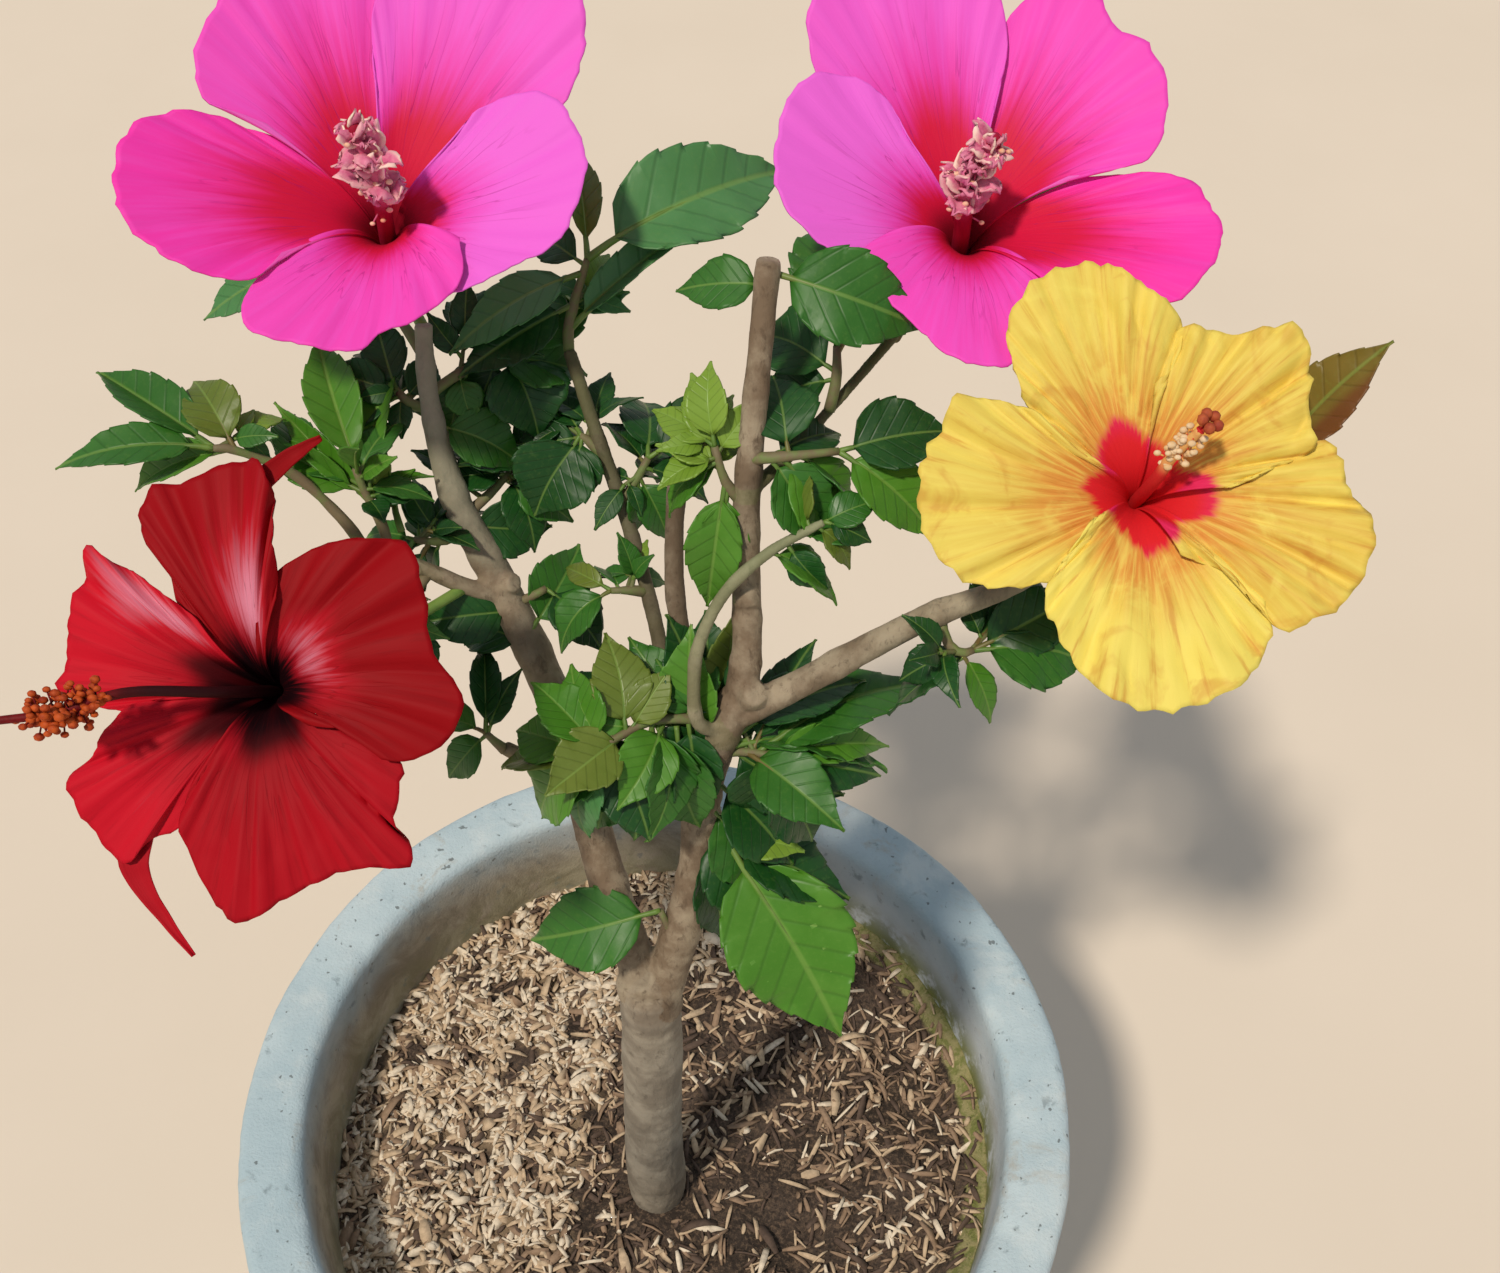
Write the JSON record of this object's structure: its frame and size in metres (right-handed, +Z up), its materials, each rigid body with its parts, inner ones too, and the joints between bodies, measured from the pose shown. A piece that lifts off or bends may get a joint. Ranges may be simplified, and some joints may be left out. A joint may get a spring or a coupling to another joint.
{
  "type": "potted hibiscus shrub",
  "caption": "Grafted hibiscus shrub with pink, yellow and red blooms on one short trunk, in a round cement pot of soil.",
  "frame": {"origin": "middle of the pot's flat underside, on the ground", "axes": "+Z up; seen along +Y the red bloom is on the left, the yellow one on the right and the two pink ones at the back"},
  "size_m": [0.3938, 0.36, 0.7326],
  "materials": {
    "cement": "matte",
    "soil": "matte",
    "bark": "matte",
    "leaf": "satin",
    "petal_pink": "satin",
    "petal_yellow": "satin",
    "petal_red": "satin"
  },
  "bodies": {
    "root": {"bloom_pink_left": "petal_pink", "bloom_pink_right": "petal_pink", "bloom_red": "petal_red", "bloom_yellow": "petal_yellow", "bough_back": "bark", "bough_far_left": "bark", "bough_left": "bark", "bough_middle": "bark", "bough_pink_right": "bark", "bough_right": "bark", "bough_upright": "bark", "leaf_bough_side": "leaf", "leaf_fork": "leaf", "leaf_upright_tip": "leaf", "leaves_behind_pink_left": "leaf", "leaves_behind_pink_right": "leaf", "leaves_behind_red": "leaf", "leaves_behind_yellow": "leaf", "leaves_centre_left": "leaf", "leaves_centre_low": "leaf", "leaves_centre_right": "leaf", "leaves_far_left": "leaf", "leaves_left_back": "leaf", "leaves_left_high": "leaf", "leaves_left_low": "leaf", "leaves_left_shoot": "leaf", "leaves_low_front": "leaf", "leaves_low_left": "leaf", "leaves_low_twig": "leaf", "leaves_right_bough": "leaf", "leaves_top_middle": "leaf", "leaves_under_pink_left": "leaf", "leaves_upright": "leaf", "leaves_upright_right": "leaf", "leaves_upright_top": "leaf", "leaves_yellow_side": "leaf", "pot": "cement", "soil": "soil", "stub_back": "bark", "stub_cut": "bark", "trunk": "bark", "twig_arching": "bark", "twig_low_left": "bark"}
  },
  "joints": []
}
